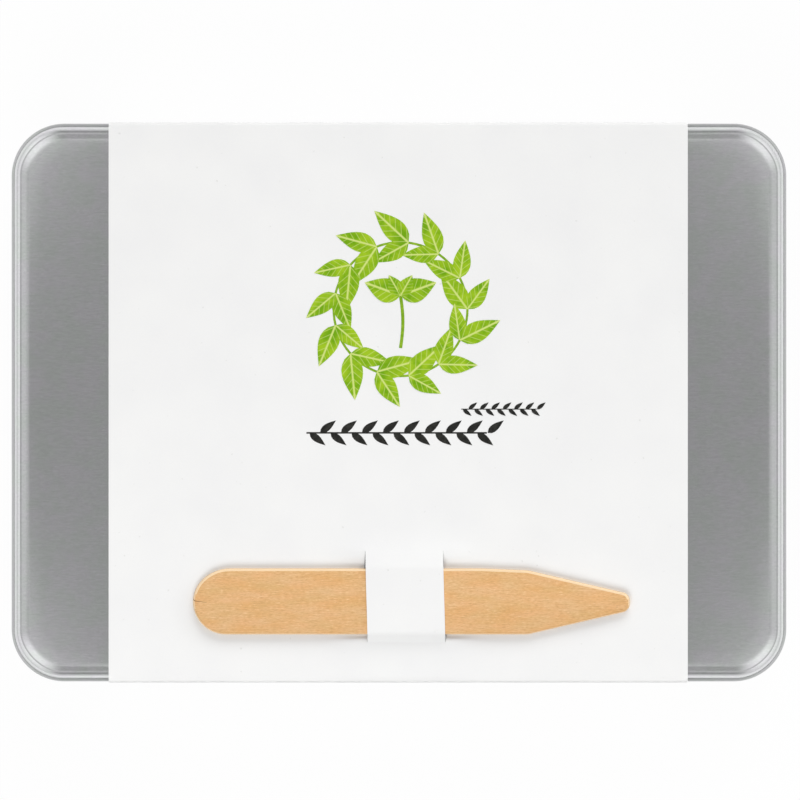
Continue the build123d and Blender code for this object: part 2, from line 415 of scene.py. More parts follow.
def add(name, data):
    """A new object in the scene that shows some data."""
    made = bpy.data.objects.new(name, data)
    scene.collection.objects.link(made)
    return made


def piece(name, vertices, faces, material, body, node=None, sharp=SHARP, uvs=None):
    """A smooth-shaded mesh object that rides on a body and may replace a CAD node. uvs holds
    one point for each vertex, and edges stay sharp from an angle of sharp degrees."""
    mesh = bpy.data.meshes.new(name)
    mesh.from_pydata(vertices, [], faces)
    if uvs:
        layer = mesh.uv_layers.new(name="UVMap")
        for loop in mesh.loops:
            layer.data[loop.index].uv = uvs[loop.vertex_index]
    shaped = bmesh.new()
    shaped.from_mesh(mesh)
    bmesh.ops.recalc_face_normals(shaped, faces=shaped.faces)
    shaped.to_mesh(mesh)
    shaped.free()
    mesh.shade_smooth()
    mesh.set_sharp_from_angle(angle=math.radians(sharp))
    mesh.materials.append(material)
    made = add(name, mesh)
    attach(made, body)
    if node:
        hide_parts(node)
    return made


def thicken(made, thickness):
    """Turns an open sheet into a closed one that grows inwards from its outer face."""
    modifier = made.modifiers.new("sheet", "SOLIDIFY")
    modifier.thickness = thickness
    modifier.offset = -1
    modifier.use_even_offset = True
    depsgraph = bpy.context.evaluated_depsgraph_get()
    solid = bpy.data.meshes.new_from_object(made.evaluated_get(depsgraph))
    made.modifiers.clear()
    solid.set_sharp_from_angle(angle=math.radians(SHEET_SHARP))
    flat = made.data
    made.data = solid
    solid.name = flat.name
    bpy.data.meshes.remove(flat)


def arc(start, heading, radius, turn):
    """Points that carry on from start along heading and turn left by turn radians."""
    left = Vector((-heading.y, heading.x)) * math.copysign(1, turn)
    centre = start + left * radius
    count = max(2, math.ceil(abs(turn) / BEND_STEP))
    return [
        centre + Matrix.Rotation(turn * k / count, 2) @ (start - centre)
        for k in range(1, count + 1)
    ]


def filleted(points, radii):
    """The points of a polyline whose corners are rounded to the given radii."""
    points = [Vector(p) for p in points]
    path = [points[0]]
    for before, corner, after, radius in zip(points, points[1:], points[2:], radii):
        heading = (corner - before).normalized()
        leaving = (after - corner).normalized()
        turn = math.atan2(heading.cross(leaving), heading.dot(leaving))
        start = corner - heading * radius * math.tan(abs(turn) / 2)
        path.append(start)
        path += arc(start, heading, radius, turn)
    return path + [points[-1]]


def normals_of(path):
    """The left-hand normal at each point of a path in a plane."""
    normals = []
    for before, after in zip([path[0]] + path[:-1], path[1:] + [path[-1]]):
        along = (after - before).normalized()
        normals.append(Vector((-along.y, along.x)))
    return normals


def inward_normals(loop):
    """The left-hand normals of a closed path, which point into an anticlockwise one."""
    return normals_of([loop[-1]] + loop + [loop[0]])[1:-1]


def spread(start, end, step):
    """Values from start to end, evenly spaced by about step."""
    count = max(1, math.ceil(abs(end - start) / step))
    return [start + (end - start) * k / count for k in range(count)] + [end]


def even_points(path, count):
    """Points spaced evenly along a path, its two ends included."""
    reach = [0.0]
    for one, two in zip(path, path[1:]):
        reach.append(reach[-1] + (two - one).length)
    spaced, leg = [], 0
    for k in range(count):
        target = reach[-1] * k / (count - 1)
        while leg < len(path) - 2 and reach[leg + 1] < target:
            leg += 1
        share = (target - reach[leg]) / (reach[leg + 1] - reach[leg])
        spaced.append(path[leg].lerp(path[leg + 1], min(share, 1.0)))
    return spaced


def ring_faces(count, rings, start=0):
    """The faces between rings of count vertices each, from vertex start on, and a cap on the
    first and the last ring."""
    faces = [tuple(range(start, start + count))]
    for here in range(start, start + (rings - 1) * count, count):
        for k in range(count):
            following = here + (k + 1) % count
            faces.append((here + k, following, following + count, here + k + count))
    last = start + rings * count - 1
    faces.append(tuple(range(last, last - count, -1)))
    return faces


# ---- tin
TIN_ROUGHNESS = 0.22
TIN_GRAIN = ((500, 2400, 2400), 2, 0.5)
TIN_GRAIN_TONES = ((0.35, 0.65), colour(219, 221, 220), colour(229, 230, 230))
TIN_DASHES = ((900, 3000, 3000), 1, 0.5)
TIN_GLINTS = (0.60, 0.72, 0.0, 0.36)
TIN_SCRATCHES = (0.40, 0.28, 0.0, 0.34)
TIN_SCRATCH = colour(190, 192, 191)
TIN_CLOUD = (150, 4, 0.6)
TIN_CLOUD_TONES = ((0.38, 0.62), colour(220, 227, 222), colour(226, 223, 230))
TIN_SATIN = (0.3, 0.7, 0.18, 0.21)

# Below its top the rolled edge is darker and rougher. Painted shade lies in the crevice behind it,
# at these distances out from the lid's edge, and most of it in the corners, where |x * y| passes
# CORNER_REACH.
CURL_DARKENING = 0.35
CURL_BLEND = 0.0006
CURL_ROUGHNESS = 0.7
CURL_TONE = colour(150, 150, 150)
CREVICE = (-0.0010, -0.0006)
CREVICE_SHADE_SHARES = (0.12, 0.50)
CORNER_REACH = (0.00632, 0.00650)
CREVICE_SHADE_TONE = colour(112, 113, 113)


def tinplate(name, curl_top=0.0):
    """Satin tinplate, faintly brushed along its length, with fine scratches and a soft mottle.
    Below curl_top it is darker and rougher."""
    made = Material(name, TIN_ROUGHNESS, metallic=1.0, specular=0.5)
    grain = made.noise(*TIN_GRAIN)
    dashes = made.noise(*TIN_DASHES)
    cloud = made.noise(*TIN_CLOUD)
    streaked = made.blend(grain, *TIN_GRAIN_TONES)
    streaked = made.blend(dashes, TIN_GLINTS, streaked, WHITE)
    streaked = made.blend(dashes, TIN_SCRATCHES, streaked, TIN_SCRATCH)
    painted = made.mix(0.5, streaked, made.blend(cloud, *TIN_CLOUD_TONES))
    _, _, height = made.axes()
    curl_share = made.remap(height, curl_top, curl_top + CURL_BLEND, CURL_DARKENING, 0.0)
    painted = made.mix(curl_share, painted, CURL_TONE)
    # Painted shade darkens the crevice behind the rolled edge, most of it in the corners.
    made.paint(made.mix(painted_crevice_shade(made, curl_top), painted, CREVICE_SHADE_TONE))
    rougher = made.times(curl_share, CURL_ROUGHNESS)
    made.feed(made.inputs["Roughness"], made.plus(made.remap(cloud, *TIN_SATIN), rougher))
    return made.material


def painted_crevice_shade(made, curl_top):
    """How much painted shade darkens the tin: some in the crevice behind its rolled edge, most
    of it in the corners.
    """
    x, y, height = made.axes()
    out, _, _ = made.axes("UV")
    crevice = made.remap(out, *CREVICE, 1.0, 0.0)
    low = made.math("LESS_THAN", height, curl_top)
    cornered = made.remap(made.math("ABSOLUTE", made.times(x, y)), *CORNER_REACH, *CREVICE_SHADE_SHARES)
    return made.times(made.times(crevice, low), cornered)


def sheet_section(points, radii, curl, rise):
    """The outline of sheet metal, from the corners and bends of its middle line and its last
    curl: out along one face, round the free edge and back."""
    middle = filleted(points, radii)
    middle += arc(middle[-1], Vector((0, rise)), (curl - SHEET) / 2, CURL_TURN)
    normals = normals_of(middle)
    upper = [p + n * HALF_SHEET for p, n in zip(middle, normals)]
    lower = [p - n * HALF_SHEET for p, n in zip(middle, normals)]
    along = Vector((normals[-1].y, -normals[-1].x))
    edge = arc(upper[-1], along, HALF_SHEET, -math.pi)[:-1]
    return upper + edge + lower[::-1]


def outline_stations():
    """Places once round the tin: a corner's centre, or a point beside a straight side, with
    the outward direction there."""
    reach = LID_HIGH.xy - Vector((CORNER_RADIUS, CORNER_RADIUS))
    centres = [reach * Vector(sign) for sign in ((1, 1), (-1, 1), (-1, -1), (1, -1))]
    stations = []
    for corner, centre in enumerate(centres):
        for k in range(CORNER_STEPS + 1):
            angle = math.pi / 2 * (corner + k / CORNER_STEPS)
            stations.append((centre, Vector((math.cos(angle), math.sin(angle)))))
        outward = stations[-1][1]
        following = centres[(corner + 1) % len(centres)]
        for k in range(1, SIDE_STEPS):
            stations.append((centre.lerp(following, k / SIDE_STEPS), outward))
    return stations


def pressing(name, section, material, node, body):
    """Sheet metal whose section, as (distance out from the lid's edge, height), is carried
    round the tin and closed by a flat plate."""
    stations = outline_stations()
    vertices, uvs = [], []
    for out, height in section:
        for centre, outward in stations:
            slack = 1 + CORNER_SLACK * (2 * outward.x * outward.y) ** 2
            flat = centre + outward * (CORNER_RADIUS + out * slack)
            dent = TIN_WAVE * abs(noise.noise(Vector((flat.x, flat.y, height)) * TIN_WAVE_RATE))
            flat -= outward * dent
            vertices.append((flat.x, flat.y, height))
            uvs.append((out, height))
    faces = ring_faces(len(stations), len(section))
    piece(name, vertices, faces, material, body, node, TIN_SHARP, uvs)


def lid_section():
    """The lid's section, from the middle of its flat panel out to its rolled edge."""
    skirt = LID_CURL - HALF_SHEET
    reach = SHOULDER_RADIUS * math.tan((math.pi / 2 - SHOULDER_SLOPE) / 2) + SHOULDER_FLAT
    ledge = LID_CURL - SHEET + reach * math.cos(SHOULDER_SLOPE)
    ramp = ledge + LEDGE_WIDTH
    panel = ramp + RAMP_RUN
    top = LID_HIGH.z - HALF_SHEET
    step = top - PANEL_RISE
    points = [
        (-panel - RAMP_RADIUS, top),
        (-panel, top),
        (-ramp, step),
        (-ledge, step),
        (-skirt, step - reach * math.sin(SHOULDER_SLOPE)),
        (-skirt, LID_LOW.z + LID_CURL / 2),
    ]
    radii = [
        RAMP_RADIUS - HALF_SHEET, FOOT_RADIUS + HALF_SHEET,
        LEDGE_RADIUS + HALF_SHEET, SHOULDER_RADIUS - HALF_SHEET,
    ]
    return sheet_section(points, radii, LID_CURL, -1)


def base_section():
    """The base's section, from its raised floor out and up to its rolled rim."""
    wall = LID_CURL + SLIP_GAP + HALF_SHEET
    ring = wall - HALF_SHEET + BASE_RADIUS + RING_WIDTH
    slope = ring + FLOOR_SLOPE
    floor_height = BASE_LOW.z + FLOOR_RISE + HALF_SHEET
    points = [
        (-slope - BASE_RADIUS, floor_height),
        (-slope, floor_height),
        (-ring, BASE_LOW.z + HALF_SHEET),
        (-wall, BASE_LOW.z + HALF_SHEET),
        (-wall, BASE_HIGH.z - BASE_CURL / 2),
    ]
    radii = [FLOOR_BEND + HALF_SHEET] * 2 + [BASE_RADIUS - HALF_SHEET]
    return sheet_section(points, radii, BASE_CURL, 1)


def tin():
    lid_tin = tinplate("tinplate_lid", LID_LOW.z + LID_CURL)
    pressing("lid_shell", lid_section(), lid_tin, "tin_lid", "lid")
    pressing("base_tray", base_section(), tinplate("tinplate_base"), "tin_base", "base")


# ---- paper sleeve
BOARD_FIBRE = (2600, 3, 0.6)
BOARD_FIBRE_SHARE = 0.4
BOARD_CLOUD = (60, 2, 0.5)
BOARD_TONES = ((0.4, 1.0), colour(246, 246, 246), colour(251, 251, 250))
BOARD_SPECKS = (800, 1, 0.5)
BOARD_SPECK_SPAN = (0.76, 0.82, 0.0, 0.3)
BOARD_SPECK = colour(206, 206, 202)
BOARD_RELIEF = 0.000012


def white_board():
    """Smooth white board with a faint fibre and a few specks."""
    made = Material("sleeve_board", 0.62)
    fibre = made.noise(*BOARD_FIBRE)
    cloud = made.noise(*BOARD_CLOUD)
    plain = made.blend(made.plus(cloud, made.times(fibre, BOARD_FIBRE_SHARE)), *BOARD_TONES)
    specks = made.noise(*BOARD_SPECKS)
    made.paint(made.blend(specks, BOARD_SPECK_SPAN, plain, BOARD_SPECK))
    made.bump(fibre, BOARD_RELIEF)
    return made.material


def strap_path():
    """The strap's outer face across the marker, evenly spaced, as (y, z)."""
    crown = MARKER_HIGH.z + STRAP_CLEARANCE + PAPER
    shoulder = (MARKER_HIGH.y - MARKER_LOW.y) / 2 + PAPER
    corners = filleted(
        [
            (SLIT_FRONT, SLEEVE_TOP + FRONT_LIFT),
            (MARKER_Y - shoulder, crown),
            (MARKER_Y + shoulder, crown),
            (SLIT_BACK, SLEEVE_TOP + BACK_LIFT),
        ],
        [STRAP_BEND, STRAP_BEND],
    )
    return even_points(corners, STRAP_ROWS)


def flap_path(side):
    """One flap's outer face in (y, z), from its free edge up to the crease and onto the top."""
    curl = LID_HIGH.y + CURL_CLEARANCE + PAPER
    free_edge = (side * (curl - FLAP_LEAN), SLEEVE_LOW.z)
    at_curl = (side * curl, LID_LOW.z + LID_CURL / 2)
    crease = (side * (curl - CREASE_INSET), SLEEVE_TOP)
    top = (side * (curl - CREASE_REACH), SLEEVE_TOP)
    return filleted([free_edge, at_curl, crease, top], [FLAP_BEND, CREASE_RADIUS])


def sleeve_rows():
    """Rows of the sleeve from its front edge to its back edge, each as the sheet's (y, z), the
    strap's (y, z), and whether it lies between the slits' ends."""

    def whole(points):
        return [(point, point, False) for point in points]

    def flat(start, end):
        return whole([Vector((y, SLEEVE_TOP)) for y in spread(start, end, FLAT_ROW)[1:-1]])

    front_flap, back_flap, strap = flap_path(-1), flap_path(1)[::-1], strap_path()
    last = len(strap) - 1
    rows = whole(front_flap) + flat(front_flap[-1].x, SLIT_FRONT)
    for k, point in enumerate(strap):
        y = SLIT_FRONT + (SLIT_BACK - SLIT_FRONT) * k / last
        rows.append((Vector((y, SLEEVE_TOP)), point, 0 < k < last))
    return rows + flat(SLIT_BACK, back_flap[0].x) + whole(back_flap)


def paper_lift(x, y):
    """How far the sleeve's top stands up from the lid round the ends of the slits."""
    beside = max(STRAP_LEFT - x, x - STRAP_RIGHT, 0.0) / LIFT_BESIDE
    lift = 0.0
    for beyond, run, height in (
        (SLIT_FRONT - y, FRONT_RUN, FRONT_LIFT),
        (y - SLIT_BACK, BACK_RUN, BACK_LIFT),
    ):
        fall = beyond / LIFT_BEYOND if beyond > 0 else (beyond / (LIFT_UNDER * run)) ** 4
        lift += height * math.exp(-fall - beside * beside)
    return lift


def slit_opening(x, y):
    """How far the sheet's edge stands back at a slit. The strap sits askew, so the right slit
    gapes at the front and the left one at the back, widest beside the marker."""
    if x == STRAP_RIGHT:
        past, run = MARKER_LOW.y - y, FRONT_RUN
    else:
        past, run = y - MARKER_HIGH.y, BACK_RUN
    return SLIT_OPEN * max(0.0, 1 - abs(past) / run)


def slit_shift(zone, x, y, on_cut):
    """How far a spot of the top is drawn along X, since the slits slant and stand open."""
    near = max(0.0, 1 - abs(y - MARKER_Y) / SLANT_REACH)
    beside = min(abs(x - STRAP_LEFT), abs(x - STRAP_RIGHT))
    shift = SLIT_SLANT * (MARKER_Y - y) * near * max(0.0, 1 - beside / SLANT_BLEND)
    if on_cut:
        apart = -SLIT_GAP if zone == "strap" else slit_opening(x, y)
        shift += apart if x == STRAP_RIGHT else -apart
    return shift


def sleeve():
    """The saddle sleeve with its strap cut free along two slits and bowed over the marker."""
    rows = sleeve_rows()
    vertices, faces, shared = [], [], {}

    def vertex(zone, x, row):
        """The index of a grid vertex. The strap's edge is its own only between the slits."""
        sheet, strap, is_cut = rows[row]
        y, z = strap if zone == "strap" else sheet
        on_cut = is_cut and x in (STRAP_LEFT, STRAP_RIGHT)
        key = (x, row, zone if on_cut else "")
        if key not in shared:
            if math.isclose(z, SLEEVE_TOP, abs_tol=FLAT_SLACK):
                z += paper_lift(x, y)
            shared[key] = len(vertices)
            vertices.append((x + slit_shift(zone, x, y, on_cut), y, z))
        return shared[key]

    ends = [SLEEVE_LOW.x, STRAP_LEFT, STRAP_RIGHT, SLEEVE_HIGH.x]
    for zone, start, end in zip(("sheet", "strap", "sheet"), ends, ends[1:]):
        columns = spread(start, end, COLUMN)
        for one, two in zip(columns, columns[1:]):
            for row in range(len(rows) - 1):
                corners = ((one, row), (two, row), (two, row + 1), (one, row + 1))
                faces.append([vertex(zone, x, place) for x, place in corners])
    made = piece(
        "sleeve_wrap", vertices, faces, white_board(), "sleeve",
        "paper_sleeve", SHEET_SHARP,
    )
    thicken(made, PAPER)


# ---- wooden markers
WOOD_BANDS = ((60, 330, 1), 3, 0.55)
WOOD_BAND_TONES = ((0.36, 0.64), colour(239, 194, 147), colour(227, 177, 114))
WOOD_HUE = ((110, 260, 1), 2, 0.5)
WOOD_HUE_TONES = ((0.36, 0.64), colour(229, 190, 136), colour(237, 182, 124))
SHORT_FIBRES = ((950, 4600, 1), 2, 0.6)
LONG_FIBRES = ((220, 4200, 1), 2, 0.5)
SHORT_SHARE = 0.6
DARK_FIBRES = (0.50, 0.66, 0.0, 0.85)
DARK_FIBRE = colour(212, 160, 103)
PALE_FIBRES = (0.46, 0.32, 0.0, 0.95)
PALE_FIBRE = colour(248, 210, 162)
WOOD_PORES = ((900, 5600, 1), 1, 0.5)
PORE_SPAN = (0.66, 0.76, 0.0, 0.6)
PORE = colour(196, 142, 90)
PORES_NEAR_TIP = (0.0505, 0.0558, 0.0, 0.13)
CRACK = colour(150, 104, 58)
WOOD_RELIEF = 0.00001

# What covers the wood on its sanded edges, partly as painted highlight, and on its cut walls, as
# (share, tone)
SANDED_AND_HIGHLIT = (0.9, colour(255, 226, 186))
CUT = (0.8, colour(165, 138, 112))


def marker_wood(name, share=0.0, tone=WHITE):
    """Pale birch: soft bands, darker and paler fibres, and pores, more of them near the tip.
    A share of another tone covers it."""
    made = Material(name, specular=0.3)
    u, v, _ = made.axes("UV")
    short = made.times(made.noise(*SHORT_FIBRES, "UV"), SHORT_SHARE)
    long = made.times(made.noise(*LONG_FIBRES, "UV"), 1 - SHORT_SHARE)
    fibres = made.plus(short, long)
    pores = made.noise(*WOOD_PORES, "UV")
    banded = made.blend(made.noise(*WOOD_BANDS, "UV"), *WOOD_BAND_TONES)
    warm = made.blend(made.noise(*WOOD_HUE, "UV"), *WOOD_HUE_TONES)
    painted = made.blend(fibres, DARK_FIBRES, made.mix(0.5, banded, warm), DARK_FIBRE)
    painted = made.blend(fibres, PALE_FIBRES, painted, PALE_FIBRE)
    more_pores = made.plus(pores, made.remap(u, *PORES_NEAR_TIP))
    painted = made.blend(more_pores, PORE_SPAN, painted, PORE)
    painted = made.mix(share, painted, tone)
    made.paint(made.mix(crack_share(made, u, v), painted, CRACK))
    made.bump(made.plus(fibres, pores), WOOD_RELIEF)
    return made.material


def crack_share(made, u, v):
    """How far a spot lies in the round end's crack, which narrows and drops to its end."""
    along = made.remap(u, *CRACK_SPAN)
    middle = made.minus(CRACK_LEVEL, made.times(along, CRACK_DROP))
    apart = made.math("ABSOLUTE", made.minus(v, middle))
    half_gape = made.times(made.minus(1.0, along), CRACK_GAPE)
    inside = made.remap(made.minus(half_gape, apart), -CRACK_GAPE / 2, CRACK_GAPE / 4)
    return made.times(inside, made.math("LESS_THAN", along, 1.0))


# The markers' materials, by slot
MARKER_WOODS = (
    marker_wood("marker_wood"),
    marker_wood("marker_wood_sanded_and_highlit", *SANDED_AND_HIGHLIT),
    marker_wood("marker_wood_cut", *CUT),
)
HIGHLIT_EDGE_SLOT, CUT_SLOT = 1, 2


def marker_outline(length, width):
    """A marker's outline, anticlockwise, lying along X with its point to the right."""
    half, tip = width / 2, length / 2
    hip, tail = tip - POINT_LENGTH, half - tip
    long_tail = half * TAIL_STRETCH - tip
    sides = filleted(
        [
            (tail, -half),
            (hip, -half),
            (tip, -NOSE_WIDTH / 2),
            (tip, NOSE_WIDTH / 2 - NOSE_SLACK),
            (hip, half - NOSE_SLACK),
            (hip - SLACK_RUN, half),
            (long_tail, half),
        ],
        [HIP_RADIUS, NOSE_RADIUS, NOSE_RADIUS, HIP_RADIUS, SLACK_RADIUS],
    )
    end = arc(Vector((0, half)), Vector((-1, 0)), half, math.pi)[:-1]
    for point in end:
        upper = point.y > 0
        point.x = point.x * (TAIL_STRETCH if upper else 1) + (long_tail if upper else tail)
    return sides + end


def marker(name, node, body, grain=0.0):
    """A flat marker whose edges are rounded over. grain shifts the wood's figure."""
    low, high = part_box(node)
    size, middle = high - low, (low + high) / 2
    turn = 0 if size.x > size.y else math.pi / 2
    place = Matrix.Translation((middle.x, middle.y, low.z)) @ Matrix.Rotation(turn, 4, "Z")
    outline = marker_outline(max(size.xy), min(size.xy))
    inward = inward_normals(outline)
    angles = [math.pi / 2 * k / ARRIS_STEPS for k in range(ARRIS_STEPS + 1)]
    rings = [(ARRIS * (1 - math.sin(a)), ARRIS * (1 - math.cos(a))) for a in angles]
    rings += [(inset, size.z - height) for inset, height in rings[::-1]]
    vertices, uvs = [], []
    for inset, height in rings:
        for point, normal in zip(outline, inward):
            flat = point + normal * inset
            uvs.append((flat.x, flat.y + height + grain))
            vertices.append(place @ Vector((flat.x, flat.y, height)))
    faces = ring_faces(len(outline), len(rings))
    made = piece(name, vertices, faces, MARKER_WOODS[0], body, node, uvs=uvs)
    finish_edges(made.data)


def finish_edges(mesh):
    """Gives a marker's upright faces the cut wood and its rounded edges the paler sanded wood,
    which on flatter faces turned towards +Y is painted highlight.
    """
    for material in MARKER_WOODS[1:]:
        mesh.materials.append(material)
    for face in mesh.polygons:
        level = abs(face.normal.z)
        flat = math.hypot(face.normal.x, face.normal.y)
        if level < WALL_FACE:
            face.material_index = CUT_SLOT
        # Paler sanded wood; on the flatter faces only those turned towards +Y, as painted highlight
        elif level < FLAT_FACE and face.normal.y > HIGHLIGHT_TURN * (level - HIGHLIGHT_HEIGHT) * flat:
            face.material_index = HIGHLIT_EDGE_SLOT


def spare_markers():
    for k in range(1, SPARE_MARKERS + 1):
        marker(f"marker_spare_{k:02d}", f"spare_marker_{k:02d}", "base", k * GRAIN_STEP)


# ---- print
LEAF_WASH = (260, 4, 0.6)
LEAF_WASH_SPAN = (0.38, 0.62)
LEAF_RIM = (0.45, 1.0, 0.0, 0.45)
LEAF_RIB_RATE = 38
LEAF_RIB_LEAN = 9
LEAF_RIBS = (0.80, 1.0, 0.0, 0.55)
LEAF_MIDRIB = (0.12, 0.05)
LEAF_DARK = colour(116, 170, 8)
LEAF_LIGHT = colour(164, 202, 34)
LEAF_VEIN = colour(214, 230, 132)
INK_WASH = (900, 3, 0.6)
INK_WASH_SPAN = (0.4, 0.7)


def leaf_print():
    """A printed leaf's green, with a pale midrib and side veins. UV x runs from its stem to its
    tip and UV y from edge to edge, 0 at the midrib."""
    made = Material("print_leaf")
    u, v, _ = made.axes("UV")
    side = made.math("ABSOLUTE", v)
    tone = made.blend(made.noise(*LEAF_WASH), LEAF_WASH_SPAN, LEAF_DARK, LEAF_LIGHT)
    tone = made.blend(side, LEAF_RIM, tone, LEAF_LIGHT)
    phase = made.minus(made.times(u, LEAF_RIB_RATE), made.times(side, LEAF_RIB_LEAN))
    tone = made.blend(made.math("SINE", phase), LEAF_RIBS, tone, LEAF_VEIN)
    made.paint(made.blend(side, LEAF_MIDRIB, tone, LEAF_VEIN))
    return made.material


def plain_ink(name, tone, paler):
    made = Material(name)
    made.paint(made.blend(made.noise(*INK_WASH), INK_WASH_SPAN, tone, paler))
    return made.material


def leaf_shape(base, angle, leaf, size=1.0, steps=LEAF_STEPS):
    """A pointed leaf as anticlockwise (point, uv) pairs, growing from base at an angle."""
    turn = Matrix.Rotation(angle, 2)
    length, width = leaf[0] * size, leaf[1] * size
    widths = [math.sin(math.pi * (k / steps) ** LEAF_FULLNESS) for k in range(steps + 1)]
    edge = [(k / steps, -widths[k]) for k in range(steps)]
    edge += [(k / steps, widths[k]) for k in range(steps, 0, -1)]
    return [(base + turn @ Vector((u * length, v * width / 2)), (u, v)) for u, v in edge]


def stroke_shape(path, width):
    """A line of even width along a path, as anticlockwise (point, uv) pairs."""
    normals = normals_of(path)
    right = [p - n * width / 2 for p, n in zip(path, normals)]
    left = [p + n * width / 2 for p, n in zip(path, normals)]
    return [(point, STROKE_UV) for point in right + left[::-1]]


def printed(name, shapes, height, material, body):
    """Ink as one thin mesh of closed shapes on a level face, each next one a little higher, so
    that no two crossing faces lie in one plane."""
    vertices, faces, uvs = [], [], []
    for number, shape in enumerate(shapes):
        faces += ring_faces(len(shape), 2, len(vertices))
        for z in (height + INK + INK_STEP * number, height):
            vertices += [(point.x, point.y, z) for point, _ in shape]
            uvs += [uv for _, uv in shape]
    piece(name, vertices, faces, material, body, uvs=uvs)


def on_wreath(around):
    return PRINT_CENTRE + Vector((math.cos(around), math.sin(around))) * WREATH_RADIUS


def wreath_leaves():
    shapes = []
    for k in range(WREATH_LEAVES):
        around = 2 * math.pi * k / WREATH_LEAVES
        for side in (1, -1):
            angle = around + math.pi / 2 + side * WREATH_SPLAY
            size = 1 + WREATH_VARIETY * math.sin(WREATH_SHUFFLE * k + side)
            shapes.append(leaf_shape(on_wreath(around), angle, WREATH_LEAF, size))
    return shapes


def wreath_stems():
    """The ring, in two halves, and the seedling's stem."""
    shapes = []
    for start in (0, math.pi):
        path = [on_wreath(start + math.pi * k / WREATH_STEPS) for k in range(WREATH_STEPS + 1)]
        shapes.append(stroke_shape(path, WREATH_STEM))
    foot = PRINT_CENTRE + Vector((0, -SEEDLING_DROP))
    stem = []
    for k in range(SEEDLING_STEPS + 1):
        rise = k / SEEDLING_STEPS
        stem.append(foot + Vector((SEEDLING_BOW * math.sin(math.pi * rise), SEEDLING_STEM * rise)))
    shapes.append(stroke_shape(stem, SEEDLING_STEM_WIDTH))
    return shapes


def seedling_leaves():
    """A pair of broad seed leaves and a small first pair above them."""
    top = PRINT_CENTRE + Vector((0, SEEDLING_STEM - SEEDLING_DROP))
    shapes = []
    for side in (1, -1):
        for angle, size in SEEDLING_PAIRS:
            turn = math.pi / 2 + side * (math.pi / 2 - angle)
            shapes.append(leaf_shape(top, turn, SEED_LEAF, size, SEED_LEAF_STEPS))
    return shapes


def vine(left, right, y, length):
    """A rule: a straight stem with leaves by turns above and below it."""
    count = round((right - left) / (length * VINE_PITCH))
    step = (right - left) / count
    leaf = (length, length * VINE_SLIM)
    stem = [Vector((left, y)), Vector((right - length * VINE_FREE, y))]
    shapes = [stroke_shape(stem, leaf[1] * VINE_STEM)]
    for k in range(count):
        base = Vector((left + step * (k + VINE_START), y))
        angle = VINE_SPLAY if k % 2 else -VINE_SPLAY
        shapes.append(leaf_shape(base, angle, leaf, steps=VINE_LEAF_STEPS))
    return shapes


def sprig(centre, height, pairs, leaf):
    """A small upright sprig with leaves in pairs."""
    foot = centre - Vector((0, height / 2))
    shapes = [stroke_shape([foot, foot + Vector((0, height))], leaf[1] * SPRIG_STEM)]
    for k in range(pairs):
        base = foot + Vector((0, height * (SPRIG_FOOT + SPRIG_SPREAD * k / pairs)))
        for angle in (SPRIG_ANGLE, math.pi - SPRIG_ANGLE):
            shapes.append(leaf_shape(base, angle, leaf, 1 - SPRIG_TAPER * k))
    top = foot + Vector((0, height * SPRIG_TOP))
    return shapes + [leaf_shape(top, math.pi / 2, leaf)]


def sleeve_print():
    """A wreath round a seedling, and two dark rules below it."""
    stem = plain_ink("print_stem", colour(124, 168, 30), colour(152, 190, 48))
    dark = plain_ink("print_dark", colour(30, 30, 28), colour(52, 52, 48))
    leaves = wreath_leaves() + seedling_leaves()
    rules = vine(*RULE_WIDE) + vine(*RULE_SHORT)
    printed("print_stems", wreath_stems(), SLEEVE_TOP, stem, "sleeve")
    printed("print_leaves", leaves, SLEEVE_TOP + INK, leaf_print(), "sleeve")
    printed("print_rules", rules, SLEEVE_TOP, dark, "sleeve")


# ---- contents
CARD_FIBRE = ((300, 900, 600), 4, 0.65)
CARD_FIBRE_SPAN = (0.35, 0.65)
CARD_FLECKS = (1400, 2, 0.5)
CARD_FLECK_SPAN = (0.66, 0.74, 0.0, 0.6)
CARD_FLECK = colour(118, 90, 60)
CARD_RELIEF = 0.00003
SEED_RATE = 700
SEED_GAP_SPAN = (0.2, 0.7)
SEED = colour(142, 108, 70)
SEED_GAP = colour(58, 42, 26)
SEED_RELIEF = 0.0004
PACKET_FIBRE = (1800, 3, 0.6)
PACKET_TONES = ((0.3, 0.7), colour(238, 234, 219), colour(244, 241, 229))
PACKET_TINTS = (
    colour(126, 160, 60), colour(196, 92, 62), colour(84, 122, 152), colour(212, 160, 60),
    colour(132, 96, 142), colour(78, 140, 96),
)
PACKET_LEAVES = colour(150, 176, 92)
COVER_FIBRE = (1600, 3, 0.6)
COVER_FIBRE_SPAN = (0.3, 0.7)
COVER_PALER = 1.08
COVER_GREEN = colour(150, 178, 108)
COVER_CREAM = colour(236, 240, 220)
PAPER_RELIEF = 0.00002
PAGE_TONES = ((0.2, 1.0), colour(242, 240, 232), colour(214, 211, 200))


def middle_and_half(node):
    low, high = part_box(node)
    return (low + high) / 2, (high - low) / 2


def dress(node, material):
    """Gives a CAD node its finish."""
    materials = frame["nodes"][node].data.materials
    materials.clear()
    materials.append(material)


def kraft(name, pale, deep):
    """Brown card with flecks and soft fibres."""
    made = Material(name, 0.75, specular=0.2)
    fibre = made.noise(*CARD_FIBRE)
    flecks = made.noise(*CARD_FLECKS)
    plain = made.blend(fibre, CARD_FIBRE_SPAN, pale, deep)
    made.paint(made.blend(flecks, CARD_FLECK_SPAN, plain, CARD_FLECK))
    made.bump(made.plus(fibre, flecks), CARD_RELIEF)
    return made.material


def seeds():
    """Small dark seeds, packed close."""
    made = Material("seeds", 0.55, specular=0.4)
    cells = made.first("ShaderNodeTexVoronoi", made.place(), more={"Scale": SEED_RATE})
    gap = made.remap(cells, *SEED_GAP_SPAN)
    made.paint(made.mix(gap, SEED, SEED_GAP))
    made.bump(made.minus(1.0, gap), SEED_RELIEF)
    return made.material


